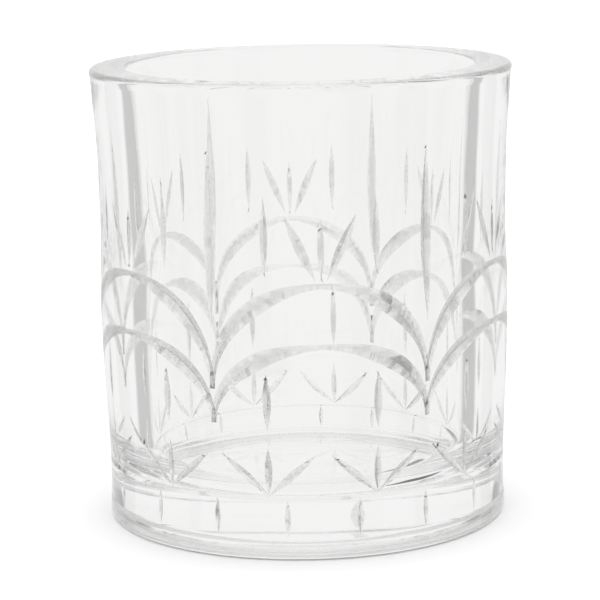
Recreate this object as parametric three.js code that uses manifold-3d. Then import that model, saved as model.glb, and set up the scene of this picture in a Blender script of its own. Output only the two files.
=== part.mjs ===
// Whiskey tumbler: one solid piece of clear cut glass, in millimetres, +Z up.
// The rest plane is z = 0 and the axis of the cup is the Z axis.
import * as THREE from 'three';
import { mergeVertices } from 'three/addons/utils/BufferGeometryUtils.js';
import Module from 'manifold-3d';

// Overall size
const HEIGHT = 95;
const RIM_RADIUS = 44;
const RIM_INNER_RADIUS = 36.2;
const FLOOR_INNER_RADIUS = 33;
const FLOOR_THICKNESS = 10;
const LIP_ROUND = 1;
const FLOOR_ROUND = 9;
const FOOT_RADIUS = 41.2;
const FOOT_RECESS_RADIUS = 33;
const FOOT_RECESS_DEPTH = 0.8;
const AROUND = 60;

// Outer wall: height and radius, foot to lip
const WALL = [
  [1.2, 42.1],
  [3.4, 42.05],
  [4.0, 41.55],
  [4.6, 42.0],
  [8.0, 41.9],
  [12.1, 41.95],
  [12.7, 41.45],
  [13.3, 41.97],
  [20, 42.2],
  [30, 42.65],
  [40, 42.95],
  [50, 42.95],
  [60, 42.6],
  [70, 42.65],
  [80, 42.9],
  [88, 43.45],
];

// Inside wall: height and radius between the floor's round corner and the lip, from the top down
const INSIDE = [
  [86, 35.3],
  [60, 34],
  [30, 33.3],
];

// Cut pattern: six equal repeats around the cup
const REPEATS = 6;
const REPEAT_ANGLE = 60;
const FIRST_STALK = -115.5;
const SPEAR = { low: 47, high: 82, width: 2.5, depth: 1 };
const FINE = { low: 57.5, high: 73, width: 1.6, depth: 0.5 };
const SPROUT = { low: 26.5, high: 38, width: 1.8, depth: 0.55 };
const FAN_LEAF = { low: 13.5, high: 23, width: 1.6, depth: 0.4 };
const FAN_ARM = { low: 13.5, high: 21.5, reach: 13, width: 1.6, depth: 0.4 };
const BETWEEN = 15;
const CROWN_LEAF = { low: 56.6, high: 69.5, reach: 8, width: 2, depth: 0.6 };
const CROWN_BUD = { low: 56.6, high: 69, width: 1.5, depth: 0.35 };
const CROWN_ROOT = 1.6;
const ARCH_UPPER = { foot: 34.6, rise: 20.9, width: 3.6, depth: 0.9 };
const ARCH_LOWER = { foot: 27.7, rise: 15.7, width: 3.6, depth: 0.9 };
const PANEL = { low: 4.7, high: 12, width: 1.2, depth: 0.35, step: 20 };
const ABOVE_SURFACE = 0.8;
const THIN_END = 0.04;
const ARCH_THIN = 0.3;
const SPEAR_STEPS = 8;
const LEAF_STEPS = 4;
const SMALL_STEPS = 2;
const ARCH_STEPS = 16;
const LIP_STEPS = 3;
const CORNER_STEPS = 5;

const radians = (degrees) => (degrees * Math.PI) / 180;

// Radius of the outer wall at one height
function wallRadius(z) {
  for (let i = 1; i < WALL.length; i += 1) {
    const [z0, r0] = WALL[i - 1];
    const [z1, r1] = WALL[i];
    if (z <= z1) return r0 + ((r1 - r0) * (z - z0)) / (z1 - z0);
  }
  return RIM_RADIUS;
}

// Points of a quarter or half round, from one angle to another
function round(cx, cz, radius, from, to, steps) {
  const points = [];
  for (let i = 0; i <= steps; i += 1) {
    const a = radians(from + ((to - from) * i) / steps);
    points.push(new THREE.Vector2(cx + radius * Math.cos(a), cz + radius * Math.sin(a)));
  }
  return points;
}

// Closed profile: underside, foot, wall, lip, inside wall, inside floor
function bodyProfile() {
  const points = [
    new THREE.Vector2(0, FOOT_RECESS_DEPTH),
    new THREE.Vector2(FOOT_RECESS_RADIUS, FOOT_RECESS_DEPTH),
    new THREE.Vector2(FOOT_RECESS_RADIUS + 1, 0),
    new THREE.Vector2(FOOT_RADIUS, 0),
  ];
  for (const [z, r] of WALL) points.push(new THREE.Vector2(r, z));
  const lipHeight = HEIGHT - LIP_ROUND;
  points.push(...round(RIM_RADIUS - LIP_ROUND, lipHeight, LIP_ROUND, 0, 90, LIP_STEPS));
  points.push(...round(RIM_INNER_RADIUS + LIP_ROUND, lipHeight, LIP_ROUND, 90, 180, LIP_STEPS));
  const floorCorner = FLOOR_INNER_RADIUS - FLOOR_ROUND;
  for (const [z, r] of INSIDE) points.push(new THREE.Vector2(r, z));
  points.push(...round(floorCorner, FLOOR_THICKNESS + FLOOR_ROUND, FLOOR_ROUND, 0, -90, CORNER_STEPS));
  points.push(new THREE.Vector2(0, FLOOR_THICKNESS));
  return points;
}

const wasm = await Module();
wasm.setup();

// Closed manifold solid from a geometry
function toSolid(geometry) {
  const plain = new THREE.BufferGeometry();
  plain.setAttribute('position', geometry.getAttribute('position').clone());
  if (geometry.index) plain.setIndex(geometry.index.clone());
  const merged = mergeVertices(plain, 1e-5);
  return new wasm.Manifold(new wasm.Mesh({
    numProp: 3,
    vertProperties: new Float32Array(merged.getAttribute('position').array),
    triVerts: new Uint32Array(merged.index.array),
  }));
}

// Geometry from a manifold solid
function toGeometry(solid) {
  const mesh = solid.getMesh();
  const geometry = new THREE.BufferGeometry();
  geometry.setAttribute('position', new THREE.BufferAttribute(new Float32Array(mesh.vertProperties), 3));
  geometry.setIndex(new THREE.BufferAttribute(new Uint32Array(mesh.triVerts), 1));
  return geometry;
}

// Point of the outer wall at an angle in degrees and a height
function wallPoint(angle, z, radius) {
  const a = radians(angle);
  return new THREE.Vector3(radius * Math.cos(a), radius * Math.sin(a), z);
}

// Mitre cutter: a V section that follows a path of [angle, height, size from 0 to 1]
function mitreCutter(path, width, depth) {
  const positions = [];
  const centres = path.map(([angle, z]) => wallPoint(angle, z, wallRadius(z)));
  path.forEach(([angle, z, size], i) => {
    const before = centres[Math.max(i - 1, 0)];
    const after = centres[Math.min(i + 1, centres.length - 1)];
    const outward = wallPoint(angle, 0, 1);
    const along = after.clone().sub(before).normalize();
    const side = new THREE.Vector3().crossVectors(outward, along).normalize();
    const half = (width * size) / 2;
    const deep = depth * size;
    const spread = half * (1 + ABOVE_SURFACE / deep);
    const floor = centres[i].clone().addScaledVector(outward, -deep);
    const top = centres[i].clone().addScaledVector(outward, ABOVE_SURFACE);
    positions.push(...floor.toArray());
    positions.push(...top.clone().addScaledVector(side, spread).toArray());
    positions.push(...top.clone().addScaledVector(side, -spread).toArray());
  });
  const index = [0, 1, 2];
  for (let i = 0; i < path.length - 1; i += 1) {
    for (let k = 0; k < 3; k += 1) {
      const a = 3 * i + k;
      const b = 3 * i + ((k + 1) % 3);
      index.push(a, a + 3, b, b, a + 3, b + 3);
    }
  }
  const last = 3 * (path.length - 1);
  index.push(last, last + 2, last + 1);
  const geometry = new THREE.BufferGeometry();
  geometry.setAttribute('position', new THREE.Float32BufferAttribute(positions, 3));
  geometry.setIndex(index);
  const solid = toSolid(geometry);
  return solid.volume() < 0 ? toSolid(flipped(geometry)) : solid;
}

// The same geometry with its faces turned round
function flipped(geometry) {
  const index = Array.from(geometry.index.array);
  for (let i = 0; i < index.length; i += 3) [index[i + 1], index[i + 2]] = [index[i + 2], index[i + 1]];
  const turned = new THREE.BufferGeometry();
  turned.setAttribute('position', geometry.getAttribute('position').clone());
  turned.setIndex(index);
  return turned;
}

// Leaf path from its root upwards, widest in the middle, leaning round the wall by its reach in degrees
function leafPath(angle, leaf, steps) {
  const path = [];
  const reach = leaf.reach ?? 0;
  for (let i = 0; i <= steps; i += 1) {
    const t = i / steps;
    const size = Math.max(Math.sin(Math.PI * t), THIN_END);
    path.push([angle + reach * t, leaf.low + (leaf.high - leaf.low) * t, size]);
  }
  return path;
}

// Arch path from stalk to stalk: a half ellipse, thin at its feet and its top
function archPath(stalk, arch, steps) {
  const path = [];
  for (let i = 0; i <= steps; i += 1) {
    const t = Math.PI * (i / steps);
    const angle = stalk + (REPEAT_ANGLE / 2) * (1 - Math.cos(t));
    const flank = Math.abs(Math.cos(t)) ** 1.6;
    const size = ARCH_THIN + (1 - ARCH_THIN) * Math.sin(Math.PI * flank);
    path.push([angle, arch.foot + arch.rise * Math.sin(t), size]);
  }
  return path;
}

// The same leaf, leaning to one side (1) or the other (-1)
function leaning(leaf, side) {
  return { ...leaf, reach: leaf.reach * side };
}

// All the cuts of the pattern
function patternCutters() {
  const cutters = [];
  const cutLeaf = (angle, leaf, steps) => {
    cutters.push(mitreCutter(leafPath(angle, leaf, steps), leaf.width, leaf.depth));
  };
  for (let i = 0; i < REPEATS; i += 1) {
    const stalk = FIRST_STALK + REPEAT_ANGLE * i;
    cutLeaf(stalk, SPEAR, SPEAR_STEPS);
    for (const side of [-1, 1]) {
      const middle = stalk + side * BETWEEN;
      for (const leaf of [FINE, SPROUT]) cutLeaf(middle, leaf, LEAF_STEPS);
      cutLeaf(middle, FAN_LEAF, SMALL_STEPS);
      for (const lean of [-1, 1]) cutLeaf(middle, leaning(FAN_ARM, lean), SMALL_STEPS);
    }
    for (const arch of [ARCH_UPPER, ARCH_LOWER]) {
      cutters.push(mitreCutter(archPath(stalk, arch, ARCH_STEPS), arch.width, arch.depth));
    }
    const crown = stalk + REPEAT_ANGLE / 2;
    cutLeaf(crown, CROWN_BUD, SMALL_STEPS);
    for (const lean of [-1, 1]) {
      cutLeaf(crown + lean * CROWN_ROOT, leaning(CROWN_LEAF, lean), LEAF_STEPS);
    }
  }
  for (let angle = 0; angle < 360; angle += PANEL.step) {
    cutLeaf(FIRST_STALK + angle, PANEL, SMALL_STEPS);
  }
  return cutters;
}

const blank = toSolid(new THREE.LatheGeometry(bodyProfile(), AROUND).rotateX(Math.PI / 2));
const cut = blank.subtract(wasm.Manifold.union(patternCutters()));
const geometry = toGeometry(cut).toNonIndexed();
geometry.computeVertexNormals();

const glass = new THREE.MeshStandardMaterial({
  name: 'glass',
  color: 0xf4f7f7,
  roughness: 0.03,
  metalness: 0,
  transparent: true,
  opacity: 0.35,
});

const tumbler = new THREE.Mesh(geometry, glass);
tumbler.name = 'tumbler';

const part = new THREE.Group();
part.name = 'whiskey_tumbler';
part.add(tumbler);

export default part;
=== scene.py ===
# %% [markdown]
# # A cut-glass whiskey tumbler
# One thick-walled cup of clear glass stands on a pale floor. The CAD model gives its size and its place.
# Here the same cup is made again with a finer surface: a turned blank first, then mitre cuts taken out of it,
# in the order in which a glass cutter works. The last cells light it softly from all round.

import math

import bpy
import numpy as np
from mathutils import Matrix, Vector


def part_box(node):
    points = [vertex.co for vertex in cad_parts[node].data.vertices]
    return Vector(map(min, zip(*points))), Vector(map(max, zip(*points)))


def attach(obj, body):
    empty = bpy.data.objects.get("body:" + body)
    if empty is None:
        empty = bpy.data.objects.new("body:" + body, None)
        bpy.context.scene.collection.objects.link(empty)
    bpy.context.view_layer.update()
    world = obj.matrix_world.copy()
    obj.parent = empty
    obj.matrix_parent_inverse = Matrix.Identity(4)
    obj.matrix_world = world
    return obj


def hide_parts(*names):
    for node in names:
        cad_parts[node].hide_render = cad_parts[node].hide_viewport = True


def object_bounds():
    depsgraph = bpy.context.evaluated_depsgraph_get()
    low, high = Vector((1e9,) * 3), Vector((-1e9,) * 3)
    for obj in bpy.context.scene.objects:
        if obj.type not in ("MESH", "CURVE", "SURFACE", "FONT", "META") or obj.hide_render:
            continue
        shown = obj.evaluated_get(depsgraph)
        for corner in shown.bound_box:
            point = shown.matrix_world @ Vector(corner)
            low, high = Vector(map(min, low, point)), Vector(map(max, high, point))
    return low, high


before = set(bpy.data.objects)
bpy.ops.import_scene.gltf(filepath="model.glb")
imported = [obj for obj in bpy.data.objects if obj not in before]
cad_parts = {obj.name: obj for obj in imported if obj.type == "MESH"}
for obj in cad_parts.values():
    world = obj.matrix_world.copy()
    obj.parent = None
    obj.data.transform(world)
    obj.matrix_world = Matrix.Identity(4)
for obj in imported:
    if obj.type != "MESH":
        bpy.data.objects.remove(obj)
cad_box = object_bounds()
node_low, node_high = (np.array(corner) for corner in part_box("tumbler"))
print("CAD box", cad_box)

# %% [markdown]
# ## Sizes
# The tumbler's own sizes are in millimetres, as a maker writes them, and one factor turns them into metres.
# Height and rim radius come from the CAD node's box, so this model can't drift away from the frame.

# %% Named sizes
MM = 0.001
HEIGHT = (node_high[2] - node_low[2]) / MM
RIM_RADIUS = (node_high[0] - node_low[0]) / 2 / MM
RIM_INNER_RADIUS = 36.2
FLOOR_INNER_RADIUS = 33.0
FLOOR_THICKNESS = 10.0
LIP_ROUND = 1.0
FLOOR_ROUND = 9.0
FOOT_RADIUS = 41.2
RECESS_RADIUS = 33.0
RECESS_DEPTH = 0.8
FOOT_TOP = 1.2
BAND_TOP = 14.0
FOOT_BEVEL = ((0.0, 0.0), (0.45, 0.12), (0.8, 0.5))
AROUND = 288
ROUND_STEPS = 12
print("height", round(HEIGHT, 2), "rim radius", round(RIM_RADIUS, 2), "mm")

# %% [markdown]
# ## The wall's outline
# The wall isn't straight: it leans in from the rim, swells a little where the arches are, and narrows to
# the foot. A smooth curve through a few stations gives that line, and a second one gives the inside wall,
# which is thick low down. The base band is nearly straight, between two ring-shaped lines, each a small V
# pressed into the wall.

# %% Outer wall radius as a function of height
WALL_HEIGHTS = np.array([0.0, 8.0, 20.0, 30.0, 40.0, 50.0, 60.0, 70.0, 80.0, 88.0, 95.0])
WALL_RADII = np.array([42.2, 41.9, 42.2, 42.65, 42.95, 42.95, 42.6, 42.65, 42.9, 43.45, 43.9])
INSIDE_HEIGHTS = np.array([FLOOR_THICKNESS + FLOOR_ROUND, 30.0, 60.0, 86.0, HEIGHT - LIP_ROUND])
INSIDE_RADII = np.array([FLOOR_INNER_RADIUS, 33.3, 34.0, 35.3, RIM_INNER_RADIUS])
RING_HEIGHTS = (4.0, 12.7)
RING_DEPTH = 0.5
RING_HALF_WIDTH = 0.6


def smooth_curve(x, stations, values):
    """Cubic Hermite curve through the stations: the slope at each one comes from its two neighbours."""
    slopes = np.gradient(values, stations)
    i = np.clip(np.searchsorted(stations, x, side="right") - 1, 0, len(stations) - 2)
    step = stations[i + 1] - stations[i]
    t = (x - stations[i]) / step
    blend_start = 2 * t**3 - 3 * t**2 + 1
    blend_end = 1 - blend_start
    lean_start = t**3 - 2 * t**2 + t
    lean_end = t**3 - t**2
    return (blend_start * values[i] + blend_end * values[i + 1]
            + step * (lean_start * slopes[i] + lean_end * slopes[i + 1]))


def wall_radius(z):
    """Radius of the outer wall, in mm, at height z: the smooth curve, cut off at the rim's radius."""
    return np.minimum(smooth_curve(np.asarray(z, float), WALL_HEIGHTS, WALL_RADII), RIM_RADIUS)


def inside_radius(z):
    """Radius of the inside wall, in mm, at height z: thick low down, and thinner towards the lip."""
    return smooth_curve(np.asarray(z, float), INSIDE_HEIGHTS, INSIDE_RADII)


def ring_depth(z):
    """Depth of the two ring lines at height z: a V whose depth falls evenly to nothing at its edges."""
    return sum(RING_DEPTH * np.clip(1 - np.abs(z - h) / RING_HALF_WIDTH, 0, 1) for h in RING_HEIGHTS)


print("wall radius at 0, 45 and 90 mm", [round(float(wall_radius(h)), 2) for h in (0, 45, 90)])

# %% [markdown]
# ## The blank
# A real tumbler starts as a plain pressed or blown cup. Its section is one closed outline: underside, foot,
# wall, rounded lip, inside wall, rounded corner and inside floor. Carried once round the axis, that outline
# gives a closed surface. The two ends of the outline lie on the axis, and each becomes one single point
# there.

# %% The blank's section
JOIN_GAP = 0.05
SHORTEST_EDGE = 1e-3


def arc(centre_r, centre_z, radius, start, end, count):
    """Points of a round: centre plus radius times (cosine, sine) of evenly spaced angles, in degrees."""
    a = np.radians(np.linspace(start, end, count))
    return np.stack([centre_r + radius * np.cos(a), centre_z + radius * np.sin(a)], axis=1)


def line(start, end, count):
    """Evenly spaced points from start to end."""
    return np.linspace(start, end, count)


def blank_outline():
    """The section as (radius, height) pairs, from the axis below to the axis above."""
    ring_edges = [h + s * RING_HALF_WIDTH for h in RING_HEIGHTS for s in (-1, 0, 1)]
    heights = np.union1d(ring_edges, np.concatenate([
        np.linspace(FOOT_TOP, BAND_TOP, 15), np.linspace(BAND_TOP, HEIGHT - LIP_ROUND, 64)]))
    heights = heights[heights < HEIGHT - LIP_ROUND - JOIN_GAP]
    wall = np.stack([wall_radius(heights) - ring_depth(heights), heights], axis=1)
    top = HEIGHT - LIP_ROUND
    bevel = np.array([[FOOT_RADIUS, 0.0]]) + np.array(FOOT_BEVEL)
    outer_lip = arc(RIM_RADIUS - LIP_ROUND, top, LIP_ROUND, 0, 90, ROUND_STEPS)
    inner_lip = arc(RIM_INNER_RADIUS + LIP_ROUND, top, LIP_ROUND, 90, 180, ROUND_STEPS)
    corner_height = FLOOR_THICKNESS + FLOOR_ROUND
    corner = arc(FLOOR_INNER_RADIUS - FLOOR_ROUND, corner_height, FLOOR_ROUND, 0, -90, ROUND_STEPS)
    inside_heights = np.linspace(inner_lip[-1, 1], corner[0, 1], 48)[1:-1]
    inside = np.stack([inside_radius(inside_heights), inside_heights], axis=1)
    under = line([RECESS_RADIUS, RECESS_DEPTH], [0, RECESS_DEPTH], 10)[::-1]
    ring = line([RECESS_RADIUS + 1, 0], [FOOT_RADIUS, 0], 5)[:-1]
    floor = line(corner[-1], [0, FLOOR_THICKNESS], 14)[1:]
    return np.concatenate([under, ring, bevel, wall, outer_lip, inner_lip, inside, corner, floor])


outline = blank_outline()
keep = np.concatenate([[True], np.linalg.norm(np.diff(outline, axis=0), axis=1) > SHORTEST_EDGE])
outline = outline[keep]
print("section points", len(outline))

# %% Carry the section round the axis


def turned(section, around):
    """Vertices and faces of a turned body: each point is (r cos a, r sin a, z) for every angle a."""
    a = np.linspace(0, 2 * np.pi, around, endpoint=False)
    body = section[1:-1]
    rings = np.stack([body[:, :1] * np.cos(a), body[:, :1] * np.sin(a), body[:, 1:] + 0 * a], axis=-1)
    ends = np.array([[0, 0, section[0, 1]], [0, 0, section[-1, 1]]])
    vertices = np.concatenate([rings.reshape(-1, 3), ends])
    i, j = np.meshgrid(np.arange(len(body) - 1), np.arange(around), indexing="ij")
    k = (j + 1) % around
    quads = np.stack([i * around + j, i * around + k, (i + 1) * around + k, (i + 1) * around + j], axis=-1)
    n = len(body) * around
    first = np.arange(around)
    after = (first + 1) % around
    last = (len(body) - 1) * around
    below = np.stack([np.full(around, n), after, first], axis=-1)
    above = np.stack([np.full(around, n + 1), last + first, last + after], axis=-1)
    return vertices, quads.reshape(-1, 4).tolist() + below.tolist() + above.tolist()


def new_object(name, vertices, faces):
    """An object at the origin with this mesh, in metres."""
    mesh = bpy.data.meshes.new(name)
    mesh.from_pydata((np.asarray(vertices) * MM).tolist(), [], faces)
    mesh.validate()
    obj = bpy.data.objects.new(name, mesh)
    bpy.context.scene.collection.objects.link(obj)
    return obj


tumbler = new_object("cut_glass_tumbler", *turned(outline, AROUND))
print("blank faces", len(tumbler.data.polygons))

# %% [markdown]
# ## The cuts
# A cutter holds the blank against a stone wheel with a V-shaped edge. Pressed harder, the wheel goes deeper
# and the cut gets wider at once, so each mitre cut is a V whose width and depth share one size along its
# path. Each cut is made as its own closed bar of V section, carried along a path that is given as an angle
# and a height on the wall.

# %% Pattern sizes
REPEATS = 6
REPEAT_ANGLE = 360 / REPEATS
FIRST_STALK = -115.5
SPEAR = dict(low=47.0, high=82.0, width=2.5, depth=1.0)
FINE = dict(low=57.5, high=73.0, width=1.6, depth=0.5)
SPROUT = dict(low=26.5, high=38.0, width=1.8, depth=0.55)
FAN_LEAF = dict(low=13.2, high=23.0, width=1.6, depth=0.4)
FAN_ARM = dict(low=13.2, high=21.5, reach=13.0, width=1.6, depth=0.4)
CROWN_LEAF = dict(low=56.6, high=69.5, reach=8.0, width=2.0, depth=0.6)
CROWN_BUD = dict(low=56.6, high=69.0, width=1.5, depth=0.35)
CROWN_ROOT = 1.6
BETWEEN = REPEAT_ANGLE / 4
ARCHES = (
    dict(foot=34.6, rise=20.9, width=3.6, depth=0.9),
    dict(foot=27.7, rise=15.7, width=3.6, depth=0.9),
)
PANEL = dict(low=4.4, high=12.3, width=1.2, depth=0.35)
PANEL_STEP = 20.0
ABOVE_SURFACE = 0.8
THIN_END = 0.04
ARCH_THIN = 0.3
ARCH_SWELL = 1.6

# %% A bar of V section along a path on the wall


def mitre_bar(angle, height, size, width, depth):
    """Triangle section at each path point: its edge lies depth times size under the wall, and its two other
    corners lie just outside the wall, as far apart as the V is wide there. Side is outward cross along."""
    a = np.radians(angle)
    outward = np.stack([np.cos(a), np.sin(a), 0 * a], axis=1)
    centre = outward * wall_radius(height)[:, None] + np.stack([0 * a, 0 * a, height], axis=1)
    along = np.gradient(centre, axis=0)
    along /= np.linalg.norm(along, axis=1, keepdims=True)
    side = np.cross(outward, along)
    side /= np.linalg.norm(side, axis=1, keepdims=True)
    deep = (depth * size)[:, None]
    spread = (width * size)[:, None] / 2 * (1 + ABOVE_SURFACE / deep)
    bottom = centre - outward * deep
    top = centre + outward * ABOVE_SURFACE
    points = np.stack([bottom, top + side * spread, top - side * spread], axis=1).reshape(-1, 3)
    i, k = np.meshgrid(np.arange(len(a) - 1) * 3, np.arange(3), indexing="ij")
    n = (k + 1) % 3
    sides = np.stack([i + k, i + 3 + k, i + 3 + n, i + n], axis=-1).reshape(-1, 4)
    last = 3 * (len(a) - 1)
    return points, [[0, 1, 2]] + sides.tolist() + [[last, last + 2, last + 1]]


def upright(angle, low, high, width, depth, count=24):
    """Spear: a straight upright path, and a size that rises and falls as a sine."""
    t = np.linspace(0, 1, count)
    size = np.maximum(np.sin(np.pi * t), THIN_END)
    return mitre_bar(np.full(count, angle), low + (high - low) * t, size, width, depth)


def arch(stalk, foot, rise, width, depth, count=72):
    """Arch from stalk to stalk: half an ellipse. Its size is least at the feet and the top."""
    t = np.linspace(0, np.pi, count)
    angle = stalk + REPEAT_ANGLE / 2 * (1 - np.cos(t))
    flank = np.abs(np.cos(t))
    size = ARCH_THIN + (1 - ARCH_THIN) * np.sin(np.pi * flank**ARCH_SWELL)
    return mitre_bar(angle, foot + rise * np.sin(t), size, width, depth)


def slanted(angle, low, high, reach, width, depth, count=24):
    """Leaf that leans: angle and height both grow evenly, and size rises and falls as a sine."""
    t = np.linspace(0, 1, count)
    size = np.maximum(np.sin(np.pi * t), THIN_END)
    return mitre_bar(angle + reach * t, low + (high - low) * t, size, width, depth)


# %% All the bars of the pattern
bars = []
for repeat in range(REPEATS):
    stalk = FIRST_STALK + REPEAT_ANGLE * repeat
    bars.append(upright(stalk, **SPEAR))
    for side in (-1, 1):
        middle = stalk + side * BETWEEN
        bars += [upright(middle, **sizes) for sizes in (FINE, SPROUT, FAN_LEAF)]
        for lean in (-1, 1):
            arm = dict(FAN_ARM, reach=lean * FAN_ARM["reach"])
            bars.append(slanted(middle, **arm))
    bars += [arch(stalk, **sizes) for sizes in ARCHES]
    crown = stalk + REPEAT_ANGLE / 2
    bars.append(upright(crown, **CROWN_BUD))
    for lean in (-1, 1):
        leaf = dict(CROWN_LEAF, reach=lean * CROWN_LEAF["reach"])
        bars.append(slanted(crown + lean * CROWN_ROOT, **leaf))
for step in range(round(360 / PANEL_STEP)):
    bars.append(upright(FIRST_STALK + PANEL_STEP * step, **PANEL))
cutters = [new_object(f"cutter_{i}", *bar) for i, bar in enumerate(bars)]
print("cuts", len(cutters))

# %% [markdown]
# ## Cutting
# A boolean takes every bar out of the blank at once and leaves sharp, straight-sided mitres, which is what
# makes cut glass flash. The bars are removed afterwards, and the result is stored in the mesh, so nothing
# is left live.

# %% Take the bars out of the blank
cutter_group = bpy.data.collections.new("cutters")
bpy.context.scene.collection.children.link(cutter_group)
for cutter in cutters:
    bpy.context.scene.collection.objects.unlink(cutter)
    cutter_group.objects.link(cutter)


def cut_with(obj, group):
    """Subtracts a collection of closed bars from an object and keeps the result as its mesh."""
    boolean = obj.modifiers.new("cuts", "BOOLEAN")
    boolean.operation = "DIFFERENCE"
    boolean.operand_type = "COLLECTION"
    boolean.collection = group
    boolean.solver = "MANIFOLD"
    depsgraph = bpy.context.evaluated_depsgraph_get()
    result = bpy.data.meshes.new_from_object(obj.evaluated_get(depsgraph))
    obj.modifiers.clear()
    obj.data = result


cut_with(tumbler, cutter_group)
for cutter in cutters:
    bpy.data.objects.remove(cutter)
bpy.data.collections.remove(cutter_group)
print("faces after cutting", len(tumbler.data.polygons))

# %% [markdown]
# ## Smooth walls and sharp cuts
# Glass shows every fault in its surface, because a bent normal bends the whole view behind it. The wall's
# faces take their normals from the wall's own formula, so that the wall bends light as a true round does.
# The cuts keep hard edges: every edge that turns by more than 14 degrees is sharp.

# %% Normals
SHARP_ANGLE = math.radians(14)
WALL_TOLERANCE = 0.03
WALL_TURN = math.radians(4)
SLOPE_STEP = 0.05


def wall_normals(points):
    """Unit normals of the outer wall: outward along the radius, tipped by how fast it grows with height."""
    radius = np.linalg.norm(points[:, :2], axis=1, keepdims=True)
    above = wall_radius(points[:, 2] + SLOPE_STEP)
    below = wall_radius(points[:, 2] - SLOPE_STEP)
    slope = (above - below) / (2 * SLOPE_STEP)
    normals = np.concatenate([points[:, :2] / radius, -slope[:, None]], axis=1)
    return normals / np.linalg.norm(normals, axis=1, keepdims=True)


def read(collection, name, width, kind=np.float32):
    """One attribute of a whole mesh collection, as an array with a row for each item."""
    values = np.empty(len(collection) * width, kind)
    collection.foreach_get(name, values)
    return values.reshape(-1, width) if width > 1 else values


mesh = tumbler.data
mesh.polygons.foreach_set("use_smooth", np.ones(len(mesh.polygons), bool))
mesh.set_sharp_from_angle(angle=SHARP_ANGLE)
points = read(mesh.vertices, "co", 3) / MM
face_centres = read(mesh.polygons, "center", 3) / MM
face_normals = read(mesh.polygons, "normal", 3)
corner_points = points[read(mesh.loops, "vertex_index", 1, np.int32)]
corner_faces = np.repeat(np.arange(len(mesh.polygons)), read(mesh.polygons, "loop_total", 1, np.int32))
normals = read(mesh.corner_normals, "vector", 3)
off_wall = wall_radius(face_centres[:, 2]) - np.linalg.norm(face_centres[:, :2], axis=1)
agree = np.einsum("ij,ij->i", face_normals, wall_normals(face_centres))
plain = (np.abs(off_wall) < WALL_TOLERANCE) & (agree > math.cos(WALL_TURN))
plain &= (face_centres[:, 2] > FOOT_TOP) & (face_centres[:, 2] < HEIGHT - LIP_ROUND)
on_wall = plain[corner_faces]
normals[on_wall] = wall_normals(corner_points[on_wall])
mesh.normals_split_custom_set(normals.tolist())
print("plain wall faces", int(plain.sum()), "of", len(plain))

# %% [markdown]
# ## Glass
# Clear glass has hardly any colour of its own. What shows is how it bends light, and small faults: a faint
# long wave left by the mould, a roughness that varies a little, and a ring of fine scratches under the
# foot. Each is a node group that puts out one value or normal, and the Principled shader in the material
# keeps the glass itself.

# %% Helpers for node groups


def new_group(name, inputs, outputs):
    """An empty shader node group with these float inputs, and outputs given as (name, socket type)."""
    group = bpy.data.node_groups.new(name, "ShaderNodeTree")
    for socket, value in inputs:
        item = group.interface.new_socket(socket, in_out="INPUT", socket_type="NodeSocketFloat")
        item.default_value = value
    for socket, kind in outputs:
        group.interface.new_socket(socket, in_out="OUTPUT", socket_type=kind)
    return group, group.nodes.new("NodeGroupInput"), group.nodes.new("NodeGroupOutput")


def add(tree, kind, **settings):
    """A node of this kind with its settings."""
    node = tree.nodes.new(kind)
    for key, value in settings.items():
        setattr(node, key, value)
    return node


# %% Mould wave: a slow, faint swell of the surface
wave_group, wave_in, wave_out = new_group(
    "mould_wave", [("Scale", 40.0), ("Strength", 0.1)], [("Normal", "NodeSocketVector")])
coordinates = add(wave_group, "ShaderNodeTexCoord")
stretch = add(wave_group, "ShaderNodeMapping")
stretch.inputs["Scale"].default_value = (1.0, 1.0, 0.45)
swell = add(wave_group, "ShaderNodeTexNoise")
swell.inputs["Detail"].default_value = 1.0
bump = add(wave_group, "ShaderNodeBump")
bump.inputs["Distance"].default_value = 0.001
wave_group.links.new(coordinates.outputs["Object"], stretch.inputs["Vector"])
wave_group.links.new(stretch.outputs["Vector"], swell.inputs["Vector"])
wave_group.links.new(wave_in.outputs["Scale"], swell.inputs["Scale"])
wave_group.links.new(swell.outputs["Fac"], bump.inputs["Height"])
wave_group.links.new(wave_in.outputs["Strength"], bump.inputs["Strength"])
wave_group.links.new(bump.outputs["Normal"], wave_out.inputs["Normal"])
print("group", wave_group.name)

# %% Handling: a little haze everywhere, and scratches where the foot slides on a table
haze_group, haze_in, haze_out = new_group(
    "handling", [("Clean", 0.0), ("Worn", 0.3)], [("Roughness", "NodeSocketFloat")])
coordinates = add(haze_group, "ShaderNodeTexCoord")
smear = add(haze_group, "ShaderNodeTexNoise")
smear.inputs["Scale"].default_value = 90.0
smear.inputs["Detail"].default_value = 4.0
smear_range = add(haze_group, "ShaderNodeMapRange")
smear_range.inputs["From Min"].default_value = 0.45
smear_range.inputs["From Max"].default_value = 0.8
smear_range.inputs["To Max"].default_value = 0.03
split = add(haze_group, "ShaderNodeSeparateXYZ")
foot = add(haze_group, "ShaderNodeMapRange")
foot.inputs["From Min"].default_value = 0.0
foot.inputs["From Max"].default_value = 0.0009
foot.inputs["To Min"].default_value = 1.0
foot.inputs["To Max"].default_value = 0.0
scratch = add(haze_group, "ShaderNodeMath", operation="MULTIPLY")
base = add(haze_group, "ShaderNodeMath", operation="ADD")
total = add(haze_group, "ShaderNodeMath", operation="ADD")
haze_group.links.new(coordinates.outputs["Object"], smear.inputs["Vector"])
haze_group.links.new(coordinates.outputs["Object"], split.inputs["Vector"])
haze_group.links.new(smear.outputs["Fac"], smear_range.inputs["Value"])
haze_group.links.new(split.outputs["Z"], foot.inputs["Value"])
haze_group.links.new(foot.outputs["Result"], scratch.inputs[0])
haze_group.links.new(haze_in.outputs["Worn"], scratch.inputs[1])
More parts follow.
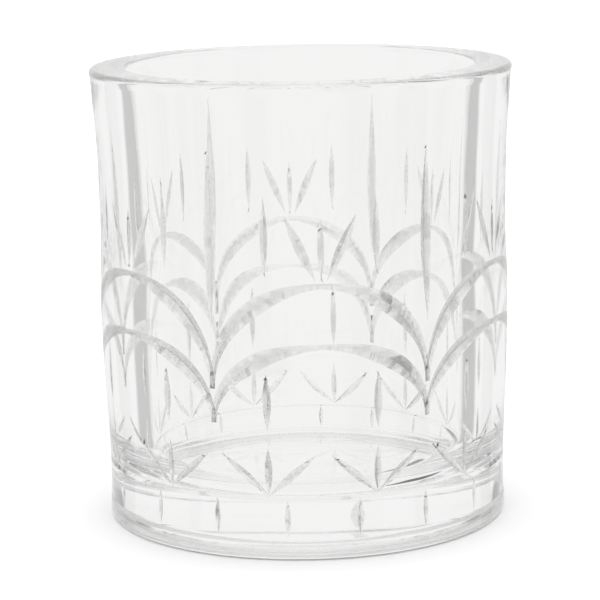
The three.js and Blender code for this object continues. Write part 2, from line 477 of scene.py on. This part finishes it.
haze_group.links.new(smear_range.outputs["Result"], base.inputs[0])
haze_group.links.new(haze_in.outputs["Clean"], base.inputs[1])
haze_group.links.new(base.outputs["Value"], total.inputs[0])
haze_group.links.new(scratch.outputs["Value"], total.inputs[1])
haze_group.links.new(total.outputs["Value"], haze_out.inputs["Roughness"])
print("group", haze_group.name)

# %% The glass material
glass = bpy.data.materials.new("clear_cut_glass")
glass.use_nodes = True
shader = glass.node_tree.nodes["Principled BSDF"]
shader.inputs["Base Color"].default_value = (0.997, 0.998, 0.992, 1)
shader.inputs["Metallic"].default_value = 0.0
shader.inputs["Roughness"].default_value = 0.0
shader.inputs["IOR"].default_value = 1.5
shader.inputs["Transmission Weight"].default_value = 1.0
wave = add(glass.node_tree, "ShaderNodeGroup", node_tree=wave_group)
wave.inputs["Scale"].default_value = 45.0
wave.inputs["Strength"].default_value = 0.05
haze = add(glass.node_tree, "ShaderNodeGroup", node_tree=haze_group)
glass.node_tree.links.new(wave.outputs["Normal"], shader.inputs["Normal"])
glass.node_tree.links.new(haze.outputs["Roughness"], shader.inputs["Roughness"])

mesh.materials.clear()
mesh.materials.append(glass)
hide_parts("tumbler")
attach(tumbler, "root")
print("material", glass.name)

# %% [markdown]
# ## Floor and studio
# A pale, plain floor takes the soft shadow. It is left out of the glass's own view, so that the room's
# brightness alone shows through the cup.

# %% Floor
FLOOR_SIZE = 6.0
FLOOR_GAP = 0.0002
bpy.ops.mesh.primitive_plane_add(size=FLOOR_SIZE, location=(0, 0, cad_box[0][2] - FLOOR_GAP))
floor = bpy.context.object
floor.name = "floor"
paper = bpy.data.materials.new("floor_paper")
paper.use_nodes = True
paper_shader = paper.node_tree.nodes["Principled BSDF"]
paper_shader.inputs["Base Color"].default_value = (0.98, 0.98, 0.98, 1)
paper_shader.inputs["Roughness"].default_value = 0.8
floor.data.materials.append(paper)
floor.visible_transmission = False
floor.visible_glossy = False
print("floor", FLOOR_SIZE, "m")

# %% [markdown]
# ## The room's light
# Clear glass is drawn by what it bends into view. Seen straight on, and by the floor, the room is plain
# white. Seen through the glass or in its gloss it is white too, with a few grey cards standing in it, and a
# slightly dimmer ceiling and table. A world that depends on direction does this with no lamps, so nothing
# glares. Each card is given as the azimuth of its middle and its half width, the elevation of its middle
# and its half height, in degrees, and its brightness.

# %% The cards
WHITE = 1.5
GLASS_SEES = 0.905
CEILING = 0.95
TABLE = 0.97
CARD_EDGE = 2.0
CARDS = (
    (53.0, 7.5, -13.0, 12.0, 0.58),
    (-53.0, 7.5, -13.0, 12.0, 0.6),
    (150.0, 18.0, -35.0, 10.0, 0.15),
    (146.0, 9.0, -10.0, 12.0, 0.68),
    (112.0, 5.0, -14.0, 10.0, 0.4),
    (-112.0, 4.0, -14.0, 10.0, 0.5),
    (27.0, 9.0, -35.0, 10.0, 0.15),
    (92.0, 30.0, 22.0, 9.0, 0.3),
    (-92.0, 30.0, 22.0, 9.0, 0.3),
)

# %% The world and its helpers
world = bpy.data.worlds.new("studio")
bpy.context.scene.world = world
world.use_nodes = True
sky = world.node_tree
background = sky.nodes["Background"]


def math_node(operation, a, b=None, c=None):
    """One Math node in the world, with its inputs linked or set."""
    node = add(sky, "ShaderNodeMath", operation=operation)
    for socket, value in zip(node.inputs, (a, b, c)):
        if value is None:
            continue
        if isinstance(value, (int, float)):
            socket.default_value = value
        else:
            sky.links.new(value, socket)
    return node.outputs["Value"]


def ramp(value, start, end, low, high):
    """Smooth step from low to high while value goes from start to end."""
    node = add(sky, "ShaderNodeMapRange", interpolation_type="SMOOTHSTEP")
    for name, number in (("From Min", start), ("From Max", end), ("To Min", low), ("To Max", high)):
        node.inputs[name].default_value = number
    sky.links.new(value, node.inputs["Value"])
    return node.outputs["Result"]


# %% Direction of sight, and the cards seen in it
direction = add(sky, "ShaderNodeTexCoord")
parts = add(sky, "ShaderNodeSeparateXYZ")
sky.links.new(direction.outputs["Generated"], parts.inputs["Vector"])
azimuth = math_node("ARCTAN2", parts.outputs["X"], parts.outputs["Y"])
azimuth = math_node("MULTIPLY", azimuth, 180 / math.pi)
elevation = math_node("MULTIPLY", math_node("ARCSINE", parts.outputs["Z"]), 180 / math.pi)


def inside_band(value, middle, half):
    """1 where value is within half of middle, 0 outside, with a soft edge."""
    away = math_node("ABSOLUTE", math_node("SUBTRACT", value, middle))
    return ramp(away, half - CARD_EDGE, half + CARD_EDGE, 1.0, 0.0)


upper = ramp(elevation, 15, 30, 1.0, CEILING)
lower = ramp(elevation, -60, -40, TABLE, 1.0)
seen = math_node("MULTIPLY", math_node("MULTIPLY", upper, lower), GLASS_SEES)
for card_azimuth, half_width, card_elevation, half_height, brightness in CARDS:
    across = inside_band(azimuth, card_azimuth, half_width)
    along = inside_band(elevation, card_elevation, half_height)
    shade = math_node("MULTIPLY_ADD", math_node("MULTIPLY", across, along), brightness - 1, 1.0)
    seen = math_node("MULTIPLY", seen, shade)
path = add(sky, "ShaderNodeLightPath")
plain_white = math_node("MAXIMUM", path.outputs["Is Camera Ray"], path.outputs["Is Diffuse Ray"])
strength = math_node("ADD", math_node("MULTIPLY", plain_white, math_node("SUBTRACT", WHITE, seen)), seen)
background.inputs["Color"].default_value = (1, 1, 1, 1)
sky.links.new(strength, background.inputs["Strength"])
print("cards", len(CARDS))

# %% [markdown]
# ## Camera
# A long lens from about half a metre keeps the sides of the glass nearly upright. The camera stands a
# little above the rim and looks slightly down, so that the mouth shows as a thin ellipse.

# %% Camera
CAMERA_DISTANCE = 0.5225
CAMERA_HEIGHT = 0.146
CAMERA_PITCH = -10.98
CAMERA_ROLL = -1.04
CAMERA_YAW = 0.1
camera_data = bpy.data.cameras.new("camera")
camera_data.lens = 150.6
camera_data.sensor_width = 36.0
camera = bpy.data.objects.new("camera", camera_data)
bpy.context.scene.collection.objects.link(camera)
camera.matrix_world = (
    Matrix.Translation((0, -CAMERA_DISTANCE, CAMERA_HEIGHT))
    @ Matrix.Rotation(math.radians(CAMERA_YAW), 4, "Z")
    @ Matrix.Rotation(math.radians(90 + CAMERA_PITCH), 4, "X")
    @ Matrix.Rotation(math.radians(CAMERA_ROLL), 4, "Z")
)
bpy.context.scene.camera = camera
print("camera height", CAMERA_HEIGHT, "m")

# %% [markdown]
# ## Light paths
# Light that enters thick glass turns back inside it many times before it leaves, so each ray gets more
# turns than usual. With too few, the rim and the base go falsely dark.

# %% Light paths
ALL_TURNS = 24
GLASS_TURNS = 20
paths = bpy.context.scene.cycles
paths.max_bounces = ALL_TURNS
paths.glossy_bounces = GLASS_TURNS
paths.transmission_bounces = GLASS_TURNS
print("light turns", ALL_TURNS)

# %% View transform and the end
bpy.context.scene.view_settings.view_transform = "Standard"
